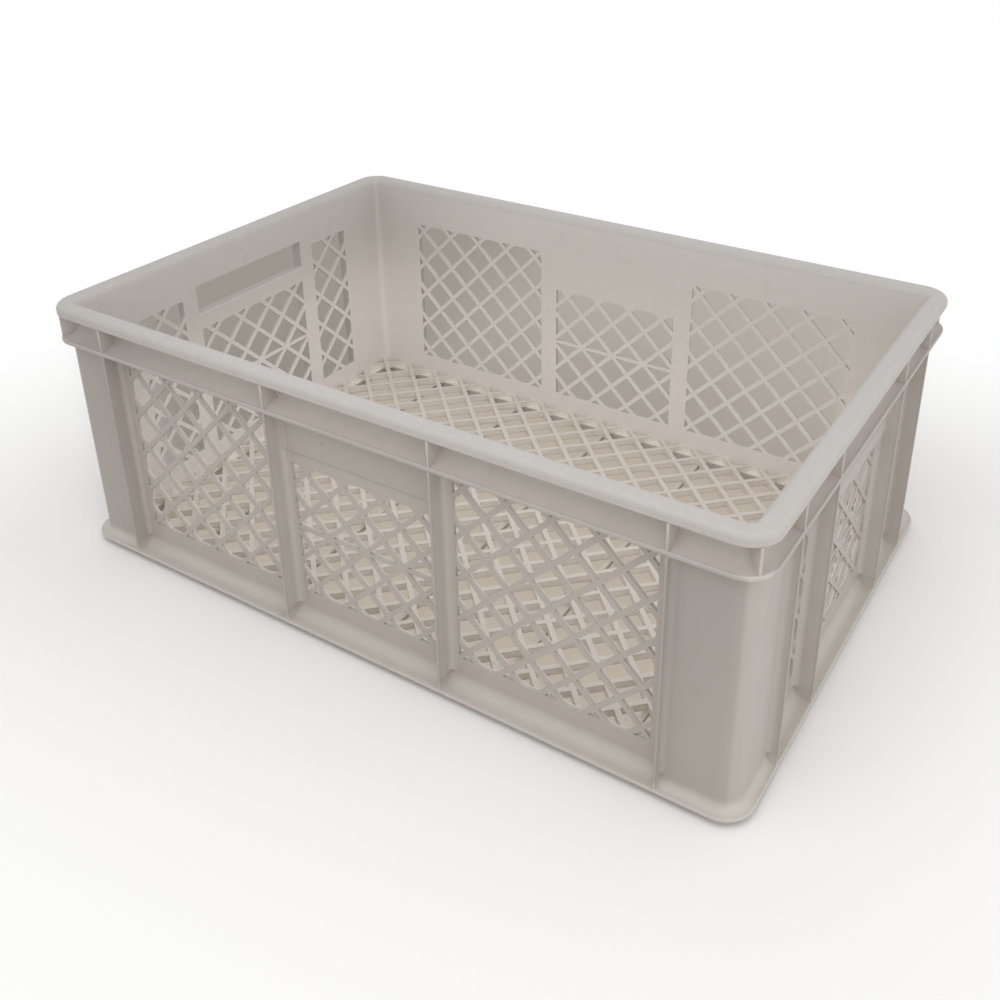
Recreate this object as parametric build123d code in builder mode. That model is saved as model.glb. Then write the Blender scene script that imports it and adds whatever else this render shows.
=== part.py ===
import os
from math import ceil, sqrt

from build123d import *

os.makedirs("parts", exist_ok=True)

# Outline in plan: the rim, the upright ribs and the base flange all reach it
length = 600.0
width = 400.0
height = 220.0
outline_radius = 22.0

# Wall
wall_inset = 14.5               # outer wall face, behind the outline
wall_thickness = 2.5
post_inset = 8.0                # outer face of the corner posts

# Rim: a rounded bead over a channel that flares out into a lip
bead_height = 8.4
bead_outer_round = 4.5
bead_inner_round = 7.5
rim_depth = 31.0                # top of the bead to the underside of the lip
lip_thickness = 3.5
lip_flare = 12.5
edge_round = 1.2

# Base: a thin flange that flares up into the wall and the posts
flange_thickness = 3.0
wall_flare = 9.0
post_flare = 6.5
skirt_height = 13.0             # underside of the flange to the foot of the wall panels

# Foot that drops into the rim of the crate below
foot_height = 5.0
foot_thickness = 4.0
stacking_clearance = 1.5        # foot to the rim opening, each side

# Upright ribs, pillars and corner posts
rib_thickness = 2.0
rib_setback = 0.3               # rib tip, behind the outline
rib_tip_round = 0.8
rib_root_fillet = 4.0
pillar_width = 14.0
long_pillar = 71.6              # middle of a long side to the rib of its pillar
end_pillar = 73.0
post_leg = 69.0                 # corner of the outline to the edge of the post
post_rib_step = 8.5             # edge of the post to its rib

# Mesh in the walls
wall_pitch = 33.65              # hole to hole along both diagonals
wall_strand = 3.8
frame_border = 1.5              # plain strip beside and over a mesh
sill_border = 13.0              # plain strip under a mesh
header_border = 8.2             # plain strip over the tall meshes
border_round = 12.0             # corners of the holes that the border cuts off
border_share = 0.65             # of the shortest edge of such a hole, at most
smallest_cut = 3.0              # reach into the mesh of the smallest such hole
stay_thickness = 3.0            # level bar across the middle meshes

# Grip band under the rim of the long sides
grip_depth = 33.5               # lip to the ledge of the band
grip_proud = 2.0
grip_strip = 11.0               # plain strip under the ledge

# Hand-hold slot and its bar in the ends
slot_depth = 25.0
slot_bar_depth = 15.0
slot_bar_proud = 5.0
slot_bar_round = 3.0

# Floor
floor_rise = 3.0                # underside of the flange to the underside of the strands
floor_pitch = 34.2
floor_strand = 4.2
floor_depth = 6.0
floor_strip_width = 7.5         # lower strip round the edge, which the strands cross
floor_strip_depth = 4.0
floor_bar_width = 4.0
floor_bar_depth = 4.0
floor_bar_step = 3              # holes from one bar to the next

# Levels above the ground
flange_level = foot_height
flange_top = flange_level + flange_thickness
floor_level = flange_level + floor_rise
panel_foot = flange_level + skirt_height
lip_level = height - rim_depth
lip_top = lip_level + lip_thickness
bead_level = height - bead_height
sill_level = panel_foot + sill_border
header_level = lip_level - header_border
mesh_level = (sill_level + header_level) / 2
ledge_level = lip_level - grip_depth
slot_level = lip_level - slot_depth
slot_bar_level = slot_level - slot_bar_depth

# Insets behind the outline
inner_inset = wall_inset + wall_thickness
wall_middle = (wall_inset + inner_inset) / 2
foot_inset = inner_inset + stacking_clearance
foot_inner_inset = foot_inset + foot_thickness
floor_inset = inner_inset + floor_strip_width

# Inside of the walls in plan
inner_length = length - 2 * inner_inset
inner_width = width - 2 * inner_inset
inner_radius = outline_radius - inner_inset

# Upright ribs in plan
rib_middle = (rib_setback + inner_inset) / 2
rib_reach = inner_inset - rib_setback
half_ribs = (-rib_thickness / 2, rib_thickness / 2)

# Ribs start below the rounded edge that they stand on
channel_rib_foot = lip_top - edge_round
skirt_rib_foot = flange_top - edge_round

# Holes of the meshes, square and turned by 45 degrees
wall_hole = wall_pitch / sqrt(2) - wall_strand
floor_hole = floor_pitch / sqrt(2) - floor_strand

up = Vector(0, 0, 1)
same_place = 0.01


class Side:
    """One side of the crate, with the planes that its pieces are drawn on."""

    def __init__(self, name, along, is_long, end_names, corner_name):
        span, reach = (length, width / 2) if is_long else (width, length / 2)
        self.name = name
        self.is_long = is_long
        self.end_names = end_names
        self.corner_name = corner_name
        self.along = along
        self.inward = up.cross(along)
        self.middle = self.inward * -reach
        self.half = span / 2
        self.half_straight = self.half - outline_radius
        self.corner = self.middle + along * self.half_straight + self.inward * outline_radius
        self.pillar = long_pillar if is_long else end_pillar
        self.post_edge = self.half - post_leg
        self.post_rib = self.post_edge + post_rib_step
        self.post_start = self.post_rib - rib_thickness / 2

    def section(self, at):
        """Upright plane across the side: x inward from the outline, y up."""
        return Plane(self.middle + self.along * at, x_dir=self.inward, z_dir=self.along)

    def plan(self, level):
        """Level plane: x along the side, y inward from the outline."""
        return Plane(self.middle + up * level, x_dir=self.along, z_dir=up)

    def corner_plan(self, level):
        """Level plane at the corner at the far end of the side: y inward on its diagonal."""
        outward = (self.along - self.inward).normalized()
        tip = self.corner + outward * outline_radius
        return Plane(tip + up * level, x_dir=up.cross(outward), z_dir=up)

    def face(self, inset):
        """Upright plane that faces outward: x along the side, y up."""
        return Plane(self.middle + self.inward * inset, x_dir=self.along, z_dir=-self.inward)


# The sides in turn, anticlockwise from above
front = Side("front", Vector(1, 0, 0), True, ("left", "right"), "front_right")
right = Side("right", Vector(0, 1, 0), False, ("front", "back"), "back_right")
back = Side("back", Vector(-1, 0, 0), True, ("right", "left"), "back_left")
left = Side("left", Vector(0, -1, 0), False, ("back", "front"), "front_left")
sides = [front, right, back, left]


def draw_box(x0, x1, y0, y1, mode=Mode.ADD):
    """Rectangle between two corners, in the sketch that is open."""
    with Locations((x0, y0)):
        Rectangle(x1 - x0, y1 - y0, align=Align.MIN, mode=mode)


def corner_at(sketch, x, y):
    """Vertices of a sketch at one place."""
    return [v for v in sketch.vertices() if abs(v.X - x) + abs(v.Y - y) < same_place]


def draw_rib(sketch, at):
    """Upright rib with a rounded tip, in the plan that is open."""
    with Locations((at, rib_middle)):
        Rectangle(rib_thickness, rib_reach)
    for half_rib in half_ribs:
        fillet(corner_at(sketch, at + half_rib, rib_setback), rib_tip_round)


def draw_skirt(sketch, wall_at, flare):
    """Flange that flares up into the foot of a wall, in the section that is open."""
    draw_box(wall_at, inner_inset, flange_level, panel_foot)
    draw_box(0, inner_inset, flange_level, flange_top)
    fillet(corner_at(sketch, wall_at, flange_top), flare)
    fillet(corner_at(sketch, 0, flange_top), edge_round)
    fillet(corner_at(sketch, 0, flange_level), edge_round)


def save(piece, name):
    piece.part.label = name
    export_step(piece.part, f"parts/{name}.step")


# Profiles across a side: x inward from the outline, y up
with BuildSketch() as bead_profile:
    draw_box(0, inner_inset, bead_level, height)
    fillet(corner_at(bead_profile, 0, height), bead_outer_round)
    fillet(corner_at(bead_profile, inner_inset, height), bead_inner_round)
    fillet(corner_at(bead_profile, 0, bead_level), edge_round)

with BuildSketch() as channel_profile:
    draw_box(wall_inset, inner_inset, lip_level, bead_level)
    draw_box(0, inner_inset, lip_level, lip_top)
    fillet(corner_at(channel_profile, wall_inset, lip_top), lip_flare)
    fillet(corner_at(channel_profile, 0, lip_top), edge_round)
    fillet(corner_at(channel_profile, 0, lip_level), edge_round)

with BuildSketch() as rim_profile:
    add(bead_profile.sketch)
    add(channel_profile.sketch)

with BuildSketch() as skirt_profile:
    draw_skirt(skirt_profile, wall_inset, wall_flare)

with BuildSketch() as post_skirt_profile:
    draw_skirt(post_skirt_profile, post_inset, post_flare)

with BuildSketch() as foot_profile:
    draw_box(foot_inset, foot_inner_inset, 0, flange_level)
    fillet(corner_at(foot_profile, foot_inset, 0), edge_round)
    fillet(corner_at(foot_profile, foot_inner_inset, 0), edge_round)

with BuildSketch() as grip_profile:
    draw_box(wall_inset - grip_proud, inner_inset, ledge_level, lip_level)
    fillet(corner_at(grip_profile, wall_inset - grip_proud, ledge_level), edge_round)

with BuildSketch() as slot_bar_profile:
    draw_box(wall_inset - slot_bar_proud, inner_inset, slot_bar_level, slot_level)
    fillet(corner_at(slot_bar_profile, inner_inset, slot_level), slot_bar_round)
    for bar_edge in (slot_bar_level, slot_level):
        fillet(corner_at(slot_bar_profile, wall_inset - slot_bar_proud, bar_edge), slot_bar_round)


def make_rail(side, profile, half_span, ribs=(), rib_foot=0, rib_head=0):
    """Rail along the middle of a side, with its ribs."""
    with BuildPart() as rail:
        with BuildSketch(side.section(-half_span)):
            add(profile)
        extrude(amount=2 * half_span)
        for rib_at in ribs:
            with BuildSketch(side.plan(rib_foot)) as rib_plan:
                draw_rib(rib_plan, rib_at)
            extrude(amount=rib_head - rib_foot)
    return rail


# Rim, base skirt and stacking foot; each side ends at the corner where the next one starts
for side, next_side in zip(sides, sides[1:] + sides[:1]):
    pillar_ribs = (-side.pillar, side.pillar)
    all_ribs = (-side.post_rib, *pillar_ribs, side.post_rib)

    rim_bead = make_rail(side, bead_profile.sketch, side.half_straight)
    save(rim_bead, f"rim_bead_{side.name}")

    rim_channel = make_rail(
        side, channel_profile.sketch, side.half_straight, all_ribs, channel_rib_foot, bead_level
    )
    save(rim_channel, f"rim_channel_{side.name}")

    with BuildPart() as rim_corner:
        with BuildSketch(side.section(side.half_straight)):
            add(rim_profile.sketch)
        revolve(axis=Axis(side.corner, up), revolution_arc=90)
        with BuildSketch(side.corner_plan(channel_rib_foot)) as corner_rib:
            draw_rib(corner_rib, 0)
        extrude(amount=bead_level - channel_rib_foot)
    save(rim_corner, f"rim_corner_{side.corner_name}")

    base_skirt = make_rail(
        side, skirt_profile.sketch, side.post_start, pillar_ribs, skirt_rib_foot, panel_foot
    )
    save(base_skirt, f"base_skirt_{side.name}")

    with BuildPart() as skirt_corner:
        with BuildSketch(side.section(side.half_straight)):
            add(post_skirt_profile.sketch)
        revolve(axis=Axis(side.corner, up), revolution_arc=90)
        with BuildSketch(side.section(side.post_start)):
            add(post_skirt_profile.sketch)
        extrude(amount=side.half_straight - side.post_start)
        with BuildSketch(next_side.section(-next_side.half_straight)):
            add(post_skirt_profile.sketch)
        extrude(amount=next_side.half_straight - next_side.post_start)
        for rib_side, rib_at in ((side, side.post_rib), (next_side, -next_side.post_rib)):
            with BuildSketch(rib_side.plan(skirt_rib_foot)) as foot_rib:
                draw_rib(foot_rib, rib_at)
            extrude(amount=panel_foot - skirt_rib_foot)
    save(skirt_corner, f"skirt_corner_{side.corner_name}")

    half_foot = side.half - foot_inner_inset - stacking_clearance
    stacking_foot = make_rail(side, foot_profile.sketch, half_foot)
    save(stacking_foot, f"stacking_foot_{side.name}")

# Corner posts: a wall strip on each side, a rib, and a round-cornered post that stands out from there
strip_length = post_rib_step - rib_thickness / 2
long_strip = (front.post_edge + front.post_start) / 2
end_strip = (right.post_edge + right.post_start) / 2
long_reach = length / 2 - front.post_start
end_reach = width / 2 - right.post_start
for side in sides:
    to_x = 1 if side.corner.X > 0 else -1
    to_y = 1 if side.corner.Y > 0 else -1
    with BuildPart() as corner_post:
        with BuildSketch(Plane.XY.offset(panel_foot)) as post_plan:
            RectangleRounded(
                length - 2 * post_inset, width - 2 * post_inset, outline_radius - post_inset
            )
            RectangleRounded(inner_length, inner_width, inner_radius, mode=Mode.SUBTRACT)
            with Locations((to_x * (length - long_reach) / 2, to_y * (width - end_reach) / 2)):
                Rectangle(long_reach, end_reach, mode=Mode.INTERSECT)
            with Locations((to_x * long_strip, to_y * (width / 2 - wall_middle))):
                Rectangle(strip_length, wall_thickness)
            with Locations((to_x * (length / 2 - wall_middle), to_y * end_strip)):
                Rectangle(wall_thickness, strip_length)
            with Locations((to_x * front.post_rib, to_y * (width / 2 - rib_middle))):
                Rectangle(rib_thickness, rib_reach)
            with Locations((to_x * (length / 2 - rib_middle), to_y * right.post_rib)):
                Rectangle(rib_reach, rib_thickness)
            for half_rib, root_inset in zip(half_ribs, (wall_inset, post_inset)):
                long_x = to_x * (front.post_rib + half_rib)
                end_y = to_y * (right.post_rib + half_rib)
                for inset, radius in ((rib_setback, rib_tip_round), (root_inset, rib_root_fillet)):
                    fillet(corner_at(post_plan, long_x, to_y * (width / 2 - inset)), radius)
                    fillet(corner_at(post_plan, to_x * (length / 2 - inset), end_y), radius)
        extrude(amount=lip_level - panel_foot)
    save(corner_post, f"corner_post_{side.corner_name}")


def mesh_centres(pitch, hole, crossing, half_length, bottom, top, level):
    """Centres of the holes that reach into a window, with a hole or a crossing in its middle."""
    reach = hole / sqrt(2) - smallest_cut
    columns = ceil((half_length + reach) / pitch * 2)
    rows = ceil((max(level - bottom, top - level) + reach) / pitch * 2)
    centres = []
    for column in range(-columns, columns + 1):
        for row in range(-rows, rows + 1):
            x = column * pitch / 2
            y = level + row * pitch / 2
            in_window = abs(x) < half_length + reach and bottom - reach < y < top + reach
            if in_window and (column + row + crossing) % 2 == 0:
                centres.append((x, y))
    return centres


def mesh_window(panel_length, top, crossing):
    """Holes of a wall mesh; the corners that its border makes are rounded."""
    half_length = panel_length / 2 - frame_border
    centres = mesh_centres(wall_pitch, wall_hole, crossing, half_length, sill_level, top, mesh_level)
    with BuildSketch() as window:
        with Locations(*centres):
            Rectangle(wall_hole, wall_hole, rotation=45)
        draw_box(-half_length, half_length, sill_level, top, mode=Mode.INTERSECT)
        for hole in window.faces().filter_by(lambda face: len(face.edges()) > 4):
            on_border = [
                v
                for v in hole.vertices()
                if min(half_length - abs(v.X), v.Y - sill_level, top - v.Y) < same_place
            ]
            shortest = min(edge.length for edge in hole.edges())
            fillet(on_border, min(border_round, border_share * shortest))
    return window.sketch


def make_mesh(side, middle, panel_length, top, window, stay=False):
    """Wall panel with a mesh, and a level bar across it at a row of crossings."""
    stay_level = mesh_level - wall_pitch / 2
    with BuildPart() as panel:
        with BuildSketch(side.face(inner_inset)):
            with Locations((middle, 0)):
                draw_box(-panel_length / 2, panel_length / 2, panel_foot, top)
                add(window, mode=Mode.SUBTRACT)
                if stay:
                    with Locations((0, stay_level)):
                        Rectangle(panel_length, stay_thickness)
        extrude(amount=wall_thickness, clean=False)
    return panel


def make_pillar(side, to, ledge_profile):
    """Wall strip with a rib, and the end of the band or bar that runs up to the rib."""
    with BuildPart() as pillar:
        with BuildSketch(side.plan(panel_foot)) as pillar_plan:
            with Locations((to * side.pillar, wall_middle)):
                Rectangle(pillar_width, wall_thickness)
            draw_rib(pillar_plan, to * side.pillar)
            for half_rib in half_ribs:
                root = corner_at(pillar_plan, to * side.pillar + half_rib, wall_inset)
                fillet(root, rib_root_fillet)
        extrude(amount=lip_level - panel_foot)
        with BuildSketch(side.section(to * side.pillar)):
            add(ledge_profile)
        extrude(amount=-to * pillar_width / 2)
    return pillar


# Walls: meshes between pillars, under the grip bands and the bars of the hand-holds
for pair in ((front, back), (right, left)):
    is_long = pair[0].is_long
    ledge_profile = grip_profile.sketch if is_long else slot_bar_profile.sketch
    ledge_name = "grip_band" if is_long else "hand_hold_bar"
    middle_top = ledge_level if is_long else slot_bar_level
    middle_border = grip_strip if is_long else frame_border
    middle_length = 2 * pair[0].pillar - pillar_width
    side_start = pair[0].pillar + pillar_width / 2
    side_length = pair[0].post_edge - side_start
    side_middle = side_start + side_length / 2
    middle_window = mesh_window(middle_length, middle_top - middle_border, crossing=False)
    side_window = mesh_window(side_length, header_level, crossing=True)
    for side in pair:
        mesh_middle = make_mesh(side, 0, middle_length, middle_top, middle_window, stay=True)
        save(mesh_middle, f"mesh_{side.name}_middle")

        ledge = make_rail(side, ledge_profile, middle_length / 2)
        save(ledge, f"{ledge_name}_{side.name}")

        for to, end_name in zip((-1, 1), side.end_names):
            mesh = make_mesh(side, to * side_middle, side_length, lip_level, side_window)
            save(mesh, f"mesh_{side.name}_{end_name}")

            pillar = make_pillar(side, to, ledge_profile)
            save(pillar, f"pillar_{side.name}_{end_name}")

# Floor: a mesh whose strands cross a lower strip along the walls
half_floor = inner_width / 2
floor_centres = mesh_centres(floor_pitch, floor_hole, True, inner_length / 2, -half_floor, half_floor, 0)
with BuildPart() as floor_mesh:
    with BuildSketch(Plane.XY.offset(floor_level)):
        RectangleRounded(inner_length, inner_width, inner_radius)
        with Locations(*floor_centres):
            Rectangle(floor_hole, floor_hole, rotation=45, mode=Mode.SUBTRACT)
    extrude(amount=floor_depth, clean=False)
    with BuildSketch(Plane.XY.offset(flange_level)):
        RectangleRounded(inner_length, inner_width, inner_radius)
        Rectangle(length - 2 * floor_inset, width - 2 * floor_inset, mode=Mode.SUBTRACT)
    extrude(amount=floor_strip_depth, clean=False)
save(floor_mesh, "floor_mesh")

# Bars under the strands, from strip to strip
bar_spacing = floor_bar_step * floor_pitch
bar_pairs = int((length / 2 - floor_inset) / bar_spacing)
for number in range(-bar_pairs, bar_pairs + 1):
    with BuildPart() as floor_bar:
        with BuildSketch(Plane.XY.offset(floor_level)):
            with Locations((number * bar_spacing, 0)):
                Rectangle(floor_bar_width, width - 2 * floor_inset)
        extrude(amount=-floor_bar_depth)
    save(floor_bar, f"floor_bar_{number + bar_pairs + 1}")
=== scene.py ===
from math import radians

import bmesh
import bpy
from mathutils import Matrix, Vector


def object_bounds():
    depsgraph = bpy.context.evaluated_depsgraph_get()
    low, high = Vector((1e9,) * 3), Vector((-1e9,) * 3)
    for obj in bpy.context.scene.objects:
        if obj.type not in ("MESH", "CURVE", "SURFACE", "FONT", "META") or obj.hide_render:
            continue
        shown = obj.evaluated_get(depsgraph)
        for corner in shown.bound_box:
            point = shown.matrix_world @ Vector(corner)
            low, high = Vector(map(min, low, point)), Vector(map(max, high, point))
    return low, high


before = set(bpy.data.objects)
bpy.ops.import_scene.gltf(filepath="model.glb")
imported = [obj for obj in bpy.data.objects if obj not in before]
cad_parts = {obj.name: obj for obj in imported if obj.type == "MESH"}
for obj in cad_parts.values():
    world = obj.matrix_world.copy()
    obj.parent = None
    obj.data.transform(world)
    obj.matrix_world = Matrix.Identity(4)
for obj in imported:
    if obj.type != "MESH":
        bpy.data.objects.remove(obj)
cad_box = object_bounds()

# Crate
half_length, half_width = (extent / 2 for extent in (cad_box[1] - cad_box[0])[:2])

# Camera, where the photograph was taken from
image_size = 1000
camera_place = (0.4515, -0.6747, 0.5746)
camera_turn = (64.745, -0.080, 31.371)
focal_length_px = 1117.5
picture_centre_px = (549.5, 328.6)
sensor_width = 36.0
nearest_seen = 0.01

# Ground: white away from the crate; under it a deeper tone with a painted glow that lifts its shade, and a
# painted shadow behind it
white = (1.0, 1.0, 1.0, 1.0)
floor_span = 40.0
floor_pale = (0.97, 0.965, 0.955, 1.0)
# Painted light under the crate: a deeper ground tone whose shade is lifted by a glow
painted_light_under = (0.95, 0.85, 0.73, 1.0)
# Painted shadow on the ground behind the crate, darker towards its left end
painted_shadow_behind = (0.55, 0.50, 0.44, 1.0)
painted_shadow_left = (0.40, 0.37, 0.33, 1.0)
floor_bounce = (0.70, 0.67, 0.63, 1.0)
painted_glow_under = (0.50, 0.44, 0.37, 1.0)
under_share = 0.8
under_inset = 0.02               # from the crate's outline inwards
under_fade = 0.005
glow_from = 0.02                 # from the crate's outline outwards
glow_to = 0.42
# Reach and soft edge of the painted shadow behind the crate
behind_reach = 0.743             # from the crate's middle
left_reach = 0.766
behind_fade = 0.11
left_from = -0.15                # along the length, towards the left end
left_to = -0.45

# Light
sky_even = 0.80
sky_right = 0.10
ceiling_place = (0.20, -0.50, 0.90)
ceiling_size = (0.6, 0.6)
ceiling_power = 1.8
side_place = (0.95, -0.25, 0.15)
side_size = (0.7, 0.25)
side_power = 0.7

# Tones of the moulded plastic: outside, on the rim, on the base, inside and on the crate's floor; several
# are painted light or shade, as noted
outer_warm = (0.425, 0.385, 0.354, 1.0)
outer_cool = (0.408, 0.380, 0.353, 1.0)
outer_low = (0.448, 0.412, 0.381, 1.0)
# Painted light on the recessed walls and on the ends, lifting their shade
painted_light_walls = (0.500, 0.456, 0.420, 1.0)
painted_light_ends = (0.505, 0.466, 0.433, 1.0)
pillar_colour = (0.570, 0.533, 0.500, 1.0)
# Painted light in the channel under the rim's bead, lifting the shade of its overhang
painted_light_channel = (0.590, 0.545, 0.505, 1.0)
rim_colour = (0.530, 0.508, 0.486, 1.0)
# Painted light on the base flange, lifting the shade under the wall and lip
painted_light_base = (0.570, 0.528, 0.486, 1.0)
# Painted light inside, lighter low down: it stands in for light through the thin translucent walls
painted_light_inside_high = (0.690, 0.652, 0.618, 1.0)
painted_light_inside_low = (0.860, 0.815, 0.770, 1.0)
cream_colour = (0.715, 0.660, 0.602, 1.0)
# Painted light on the sides of the floor's strands, lifting their shade
painted_light_strand_sides = (0.870, 0.808, 0.740, 1.0)
bar_colour = (0.660, 0.600, 0.540, 1.0)
# Shared by the flow streaks and by the painted shade at the left end and on the ribs' outer edges
streak_and_shade_colour = (0.400, 0.370, 0.345, 1.0)
grime_colour = (0.330, 0.270, 0.210, 1.0)
speck_colour = (0.060, 0.050, 0.042, 1.0)
scuff_colour = (0.800, 0.770, 0.730, 1.0)

# Where the tones change: depth behind the crate's outline
inner_from = 0.0164
inner_to = 0.0169
end_from = 0.0125
end_to = 0.0165
wall_from = 0.0100
wall_to = 0.0140
# Where the painted shade on the ribs' outer edges ends
edge_from = 0.0008
edge_to = 0.0030

# Where the painted shade at the left end starts: along the length, towards the left end
left_shade_from = -0.10
left_shade_to = -0.29

# Where the tones change: height above the ground
bar_from = 0.0081
bar_to = 0.0090
base_from = 0.0080
base_to = 0.0185
cream_from = 0.0120
cream_to = 0.0139
outer_bottom = 0.03
outer_top = 0.17
inner_bottom = 0.05
inner_top = 0.20
left_shade_low = 0.10
left_shade_high = 0.18
channel_from = 0.1830
channel_to = 0.1895
rim_from = 0.2115
rim_to = 0.2165

# Patterns: scale per metre, detail and roughness of noise, stops between none and all, and amounts
cloud_scale = (9.0, 9.0, 3.5)
cloud_stops = ((0.36, 0.0), (0.64, 1.0))
streak_scale = (70.0, 70.0, 4.0)
streak_stops = ((0.35, 0.0), (0.65, 1.0))
streak_amount = 0.08
streak_lost_inside = 0.7
soft_noise = (1.0, 2.0)
scuff_noise = (130.0, 5.0, 0.7)
scuff_stops = ((0.50, 0.0), (0.68, 1.0))
scuff_amount = 0.08
grime_noise = (38.0, 6.0, 0.65)
grime_stops = ((0.56, 0.0), (0.74, 1.0))
wall_grime = 0.10
floor_grime = 0.15
# Strength of the painted shade at the left end and on the ribs' outer edges
left_shade_amount = 0.35
rib_edge_shade_amount = 0.6
pillar_share = 0.7
speck_scale = (75.0, 75.0, 75.0)
speck_chance = ((0.88, 0.0), (0.90, 1.0))
speck_size = ((0.030, 1.0), (0.065, 0.0))
speck_amount = 0.7
fine_speck_scale = (210.0, 210.0, 210.0)
fine_speck_chance = ((0.74, 0.0), (0.80, 1.0))
fine_speck_size = ((0.08, 1.0), (0.22, 0.0))
fine_speck_amount = 0.5
scratch_scale = (40.0, 40.0, 11.0)
scratch_chance = ((0.84, 0.0), (0.86, 1.0))
scratch_size = ((0.012, 1.0), (0.030, 0.0))
scratch_amount = 0.5

# Satin skin
gloss_noise = (24.0, 4.0, 0.6)
skin_roughness = 0.40
uneven_roughness = 0.24
rubbed_roughness = 0.12
grain_noise = (1400.0, 2.0)
wave_noise = (30.0, 1.0)
grain_share = 0.25
skin_relief = 0.0006
skin_relief_strength = 0.12
skin_ior = 1.5


class Shade:
    """A shader socket; arithmetic on it adds Math nodes."""

    # Sockets of a Mix node for colours, whose names are shared with its other kinds
    first_colour = 6
    second_colour = 7
    mixed_colour = 2

    def __init__(self, tree, socket=None):
        self.tree = tree
        self.socket = socket

    def node(self, kind, settings, sockets, output=0):
        """A new node: its settings first, then a value or a link for each of its sockets."""
        made = self.tree.nodes.new(kind)
        for name, value in settings.items():
            if name == "stops":
                ramp = made.color_ramp
                while len(ramp.elements) < len(value):
                    ramp.elements.new(0.5)
                for element, (position, level) in zip(ramp.elements, value):
                    element.position = position
                    element.color = (level, level, level, 1.0)
            else:
                setattr(made, name, value)
        for name, value in sockets.items():
            if isinstance(value, Shade):
                self.tree.links.new(value.socket, made.inputs[name])
            else:
                made.inputs[name].default_value = value
        return Shade(self.tree, made.outputs[output]) if made.outputs else None

    def math(self, operation, first, second=0.0):
        return self.node("ShaderNodeMath", {"operation": operation}, {0: first, 1: second})

    def __add__(self, other):
        return self.math("ADD", self, other)

    def __radd__(self, other):
        return self.math("ADD", other, self)

    def __sub__(self, other):
        return self.math("SUBTRACT", self, other)

    def __rsub__(self, other):
        return self.math("SUBTRACT", other, self)

    def __mul__(self, other):
        return self.math("MULTIPLY", self, other)

    def __rmul__(self, other):
        return self.math("MULTIPLY", other, self)

    def ramp(self, stops):
        """This value through a ramp of grey levels."""
        return self.node("ShaderNodeValToRGB", {"stops": stops}, {"Fac": self})

    def rise(self, low, high):
        """Smoothly from 0 at one value of this to 1 at another."""
        return self.node(
            "ShaderNodeMapRange",
            {"interpolation_type": "SMOOTHSTEP"},
            {"Value": self, "From Min": low, "From Max": high},
        )

    def part(self, axis):
        """One axis of this place in space."""
        return self.node("ShaderNodeSeparateXYZ", {}, {"Vector": self}, output=axis)

    def stretched(self, scale):
        """This place in space, scaled by a number for each axis."""
        return self.node("ShaderNodeMapping", {}, {"Vector": self, "Scale": scale})

    def noise(self, scale, detail, roughness=0.5):
        """Noise at this place in space."""
        sockets = {"Vector": self, "Scale": scale, "Detail": detail, "Roughness": roughness}
        return self.node("ShaderNodeTexNoise", {}, sockets)

    def scattered(self, scale, chance, size):
        """Spots round this place in space, in some of the cells of a pattern."""
        cells = {"Vector": self.stretched(scale), "Scale": 1.0}
        nearest = self.node("ShaderNodeTexVoronoi", {}, cells, output="Distance")
        drawn = self.node("ShaderNodeTexVoronoi", {}, cells, output="Color")
        return nearest.ramp(size) * drawn.ramp(chance)

    def mix(self, colour, other, amount):
        """One colour mixed towards another."""
        sockets = {"Factor": amount, self.first_colour: colour, self.second_colour: other}
        return self.node("ShaderNodeMix", {"data_type": "RGBA"}, sockets, output=self.mixed_colour)

    def tint(self, colour, amount):
        """This colour mixed towards another."""
        return self.mix(self, colour, amount)

    def shown(self):
        """1 for what is seen, straight, mirrored or through glass, and 0 for light that bounces."""
        seen = self.node("ShaderNodeLightPath", {}, {}, output="Is Camera Ray")
        mirrored = self.node("ShaderNodeLightPath", {}, {}, output="Is Glossy Ray")
        through = self.node("ShaderNodeLightPath", {}, {}, output="Is Transmission Ray")
        return seen + mirrored + through


def new_material(name):
    material = bpy.data.materials.new(name)
    material.use_nodes = True
    material.node_tree.nodes.clear()
    return material, Shade(material.node_tree)


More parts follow.
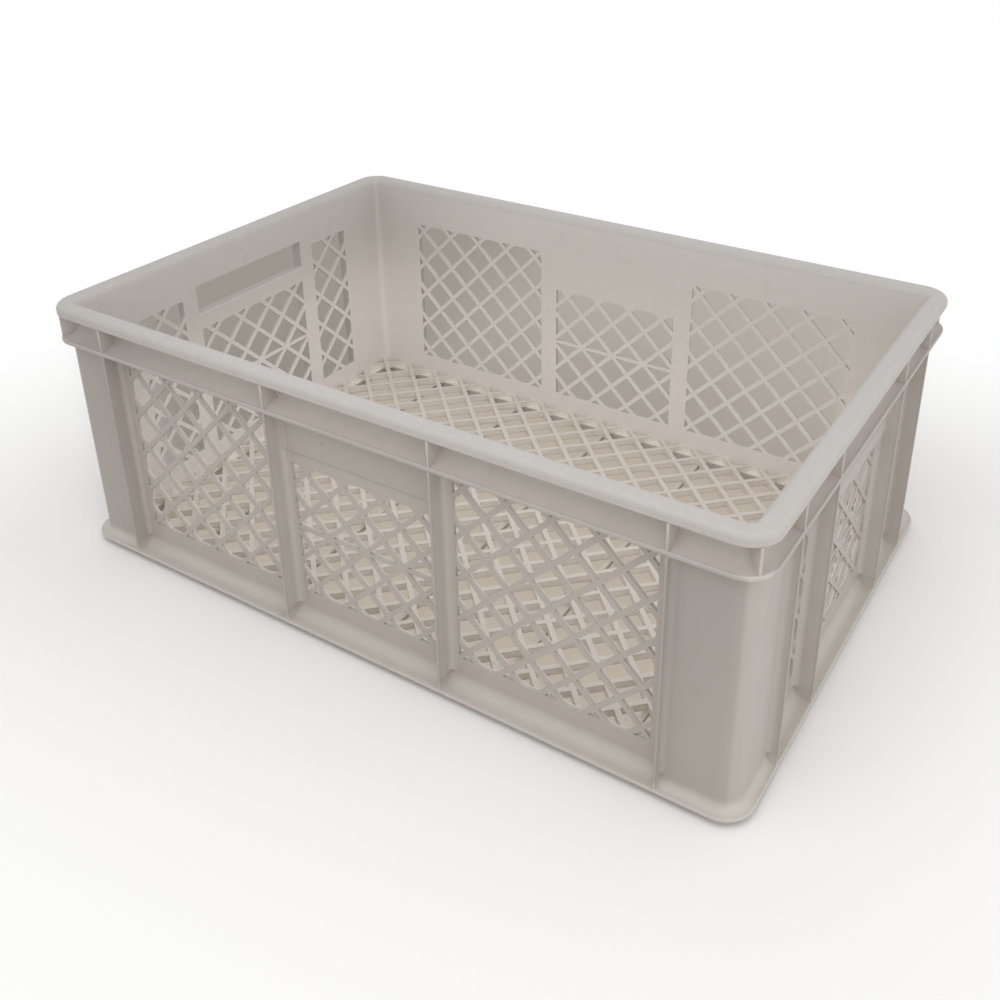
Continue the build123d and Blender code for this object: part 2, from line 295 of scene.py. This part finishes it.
def moulded_plastic(name, grime_amount, cream_amount=0.0, pillar_amount=0.0):
    """Used natural white plastic, with painted light and shade; the crate's floor is creamier and its
    pillars are lighter.
    """
    material, shade = new_material(name)
    place = shade.node("ShaderNodeTexCoord", {}, {}, output="Object")
    level = place.part("Z")
    from_end = half_length - shade.math("ABSOLUTE", place.part("X"))
    from_side = half_width - shade.math("ABSOLUTE", place.part("Y"))
    inset = shade.math("MINIMUM", from_end, from_side)
    inside = inset.rise(inner_from, inner_to)
    on_rim = level.rise(rim_from, rim_to)
    on_base = level.rise(base_to, base_from)

    # Outer faces: warm and cool clouds, lighter low down, with painted light on the recessed walls and on
    # the ends
    clouds = place.stretched(cloud_scale).noise(*soft_noise).ramp(cloud_stops)
    base = shade.mix(outer_warm, outer_cool, clouds)
    base = base.tint(outer_low, level.rise(outer_top, outer_bottom))
    base = base.tint(painted_light_walls, inset.rise(wall_from, wall_to))
    base = base.tint(painted_light_ends, from_end.rise(end_to, end_from))
    base = base.tint(pillar_colour, pillar_amount)
    # Painted light in the channel under the bead
    base = base.tint(painted_light_channel, level.rise(channel_from, channel_to))
    # Painted light on the base flange
    base = base.tint(painted_light_base, on_base)

    # Painted light inside, lighter low down, for light through the thin walls; cool on the rim; painted
    # shade high up at the left end and on the ribs' outer edges
    base = base.tint(shade.mix(painted_light_inside_low, painted_light_inside_high, level.rise(inner_bottom, inner_top)), inside)
    base = base.tint(rim_colour, on_rim)
    # Painted shade high up at the left end, where less light falls
    painted_shade_left_end = place.part("X").rise(left_shade_from, left_shade_to) * level.rise(left_shade_low, left_shade_high)
    base = base.tint(streak_and_shade_colour, painted_shade_left_end * left_shade_amount)
    # Painted shade on the ribs' outer edges, dimming their highlight
    painted_shade_rib_edges = inset.rise(edge_to, edge_from) * (1.0 - level.rise(channel_to, rim_from)) * (1.0 - on_base)
    base = base.tint(streak_and_shade_colour, painted_shade_rib_edges * rib_edge_shade_amount)

    # Floor mesh: creamy on top, painted light on the sides of its strands, deeper on the bars under it
    cream = shade.mix(painted_light_strand_sides, cream_colour, level.rise(cream_from, cream_to))
    cream = shade.mix(bar_colour, cream, level.rise(bar_from, bar_to))
    base = base.tint(cream, cream_amount)

    # Weak upright flow streaks, scuffs on the rim and the base, and grime in small patches
    streaks = place.stretched(streak_scale).noise(*soft_noise).ramp(streak_stops)
    base = base.tint(streak_and_shade_colour, streaks * (1.0 - inside * streak_lost_inside) * streak_amount)
    scuffs = place.noise(*scuff_noise).ramp(scuff_stops)
    rubbed = shade.math("MAXIMUM", on_rim, on_base) * scuffs
    base = base.tint(scuff_colour, rubbed * scuff_amount)
    patches = place.noise(*grime_noise).ramp(grime_stops)
    base = base.tint(grime_colour, patches * grime_amount)

    # Dark specks pressed into the surface, finer ones on the rim, and a few short scratches
    specks = place.scattered(speck_scale, speck_chance, speck_size)
    base = base.tint(speck_colour, specks * speck_amount)
    fine_specks = place.scattered(fine_speck_scale, fine_speck_chance, fine_speck_size)
    base = base.tint(grime_colour, fine_specks * on_rim * fine_speck_amount)
    scratches = place.scattered(scratch_scale, scratch_chance, scratch_size)
    base = base.tint(speck_colour, scratches * scratch_amount)

    # Satin skin with a fine grain
    roughness = place.noise(*gloss_noise) * uneven_roughness + rubbed * rubbed_roughness + skin_roughness
    relief = place.noise(*grain_noise) * grain_share + place.noise(*wave_noise)
    bump = shade.node(
        "ShaderNodeBump",
        {},
        {"Strength": skin_relief_strength, "Distance": skin_relief, "Height": relief},
    )
    surface = shade.node(
        "ShaderNodeBsdfPrincipled",
        {},
        {"Base Color": base, "Roughness": roughness, "Normal": bump, "IOR": skin_ior},
    )
    shade.node("ShaderNodeOutputMaterial", {}, {"Surface": surface})
    return material


wall_plastic = moulded_plastic("natural_white_moulding", wall_grime)
pillar_plastic = moulded_plastic("natural_white_pillar", wall_grime, pillar_amount=pillar_share)
floor_plastic = moulded_plastic("creamy_floor_moulding", floor_grime, cream_amount=1.0)
plastic_of = {"pillar": pillar_plastic, "floor": floor_plastic}

for name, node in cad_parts.items():
    node.data.materials.clear()
    node.data.materials.append(plastic_of.get(name.split("_")[0], wall_plastic))


def outside_of(place, half_x, half_y):
    """How far a place on the ground lies outside a rectangle round the crate's middle."""
    shade = Shade(place.tree)
    over_x = shade.math("MAXIMUM", shade.math("ABSOLUTE", place.part("X")) - half_x, 0.0)
    over_y = shade.math("MAXIMUM", shade.math("ABSOLUTE", place.part("Y")) - half_y, 0.0)
    return shade.math("SQRT", over_x * over_x + over_y * over_y)


def sight_edge(corner, side):
    """The photograph's line of sight past a corner of the crate: direction inwards and offset."""
    viewpoint = Vector(camera_place[:2])
    along = (Vector(corner) - viewpoint).normalized()
    inwards = side * Vector((along.y, -along.x))
    return inwards.x, inwards.y, -inwards.dot(viewpoint)


# Stage: a pale floor, with a painted shadow on the ground that is seen through the walls and painted light
# under the crate
floor_form = bmesh.new()
bmesh.ops.create_grid(floor_form, x_segments=1, y_segments=1, size=floor_span / 2)
ground_mesh = bpy.data.meshes.new("pale_floor")
floor_form.to_mesh(ground_mesh)
floor_form.free()
pale_floor = bpy.data.objects.new("pale_floor", ground_mesh)
bpy.context.scene.collection.objects.link(pale_floor)

# Edges of the painted shadow on the ground behind the crate
behind_edges = (
    sight_edge((-half_length, -half_width), 1.0),
    sight_edge((half_length, half_width), -1.0),
    (0.0, -1.0, behind_reach),
    (1.0, 0.0, left_reach),
    (0.0, 1.0, half_width),
    (-1.0, 0.0, half_length),
)
floor_material, shade = new_material("pale_floor")
place = shade.node("ShaderNodeTexCoord", {}, {}, output="Object")
away = outside_of(place, half_length, half_width)
# Where the painted light under the crate lies
under = outside_of(place, half_length - under_inset, half_width - under_inset).rise(under_fade, 0.0)
behind_depth = behind_fade
for along_x, along_y, offset in behind_edges:
    inwards = place.part("X") * along_x + place.part("Y") * along_y + offset
    behind_depth = shade.math("MINIMUM", behind_depth, inwards)
behind = behind_depth.rise(0.0, behind_fade)
# Painted shadow behind the crate, darker towards the left end
painted_shadow_colour = shade.mix(painted_shadow_left, painted_shadow_behind, place.part("X").rise(left_to, left_from))
seen_colour = shade.mix(floor_pale, painted_shadow_colour, behind)
seen_colour = seen_colour.tint(painted_light_under, under)
colour = shade.mix(floor_bounce, seen_colour, shade.shown())
matt = shade.node("ShaderNodeBsdfDiffuse", {}, {"Color": colour})
# Glow: even white far from the crate, and painted light under it
glow = shade.node("ShaderNodeEmission", {}, {"Color": shade.mix(white, painted_glow_under, under), "Strength": 1.0})
far = away.rise(glow_from, glow_to) * (1.0 - behind)
glow_share = (far + under * under_share) * shade.shown()
ground = shade.node("ShaderNodeMixShader", {}, {"Fac": glow_share, 1: matt, 2: glow})
shade.node("ShaderNodeOutputMaterial", {}, {"Surface": ground})
ground_mesh.materials.append(floor_material)

# Light: an even room, a little brighter to the right, and soft panels overhead and at the right end
world = bpy.data.worlds.new("soft_room")
world.use_nodes = True
world.node_tree.nodes.clear()
bpy.context.scene.world = world
shade = Shade(world.node_tree)
toward = shade.node("ShaderNodeTexCoord", {}, {}, output="Generated")
sky_level = toward.part("X") * sky_right + sky_even
room = shade.node("ShaderNodeBackground", {}, {"Color": white, "Strength": sky_level})
backdrop = shade.node("ShaderNodeBackground", {}, {"Color": white, "Strength": 1.0})
sky = shade.node("ShaderNodeMixShader", {}, {"Fac": shade.shown(), 1: room, 2: backdrop})
shade.node("ShaderNodeOutputWorld", {}, {"Surface": sky})


def soft_panel(name, place, size, power):
    """Flat lamp that faces the middle of the crate's base."""
    lamp = bpy.data.lights.new(name, "AREA")
    lamp.shape = "RECTANGLE"
    lamp.size, lamp.size_y = size
    lamp.energy = power
    panel = bpy.data.objects.new(name, lamp)
    panel.location = place
    panel.rotation_euler = (-panel.location).to_track_quat("-Z", "Y").to_euler()
    bpy.context.scene.collection.objects.link(panel)


soft_panel("ceiling_panel", ceiling_place, ceiling_size, ceiling_power)
soft_panel("side_panel", side_place, side_size, side_power)

# Camera
lens = bpy.data.cameras.new("camera")
lens.sensor_width = sensor_width
lens.lens = focal_length_px / image_size * sensor_width
lens.shift_x = 0.5 - picture_centre_px[0] / image_size
lens.shift_y = picture_centre_px[1] / image_size - 0.5
lens.clip_start = nearest_seen
camera = bpy.data.objects.new("camera", lens)
camera.location = camera_place
camera.rotation_euler = [radians(angle) for angle in camera_turn]
bpy.context.scene.collection.objects.link(camera)
bpy.context.scene.camera = camera
bpy.context.scene.view_settings.view_transform = "Standard"
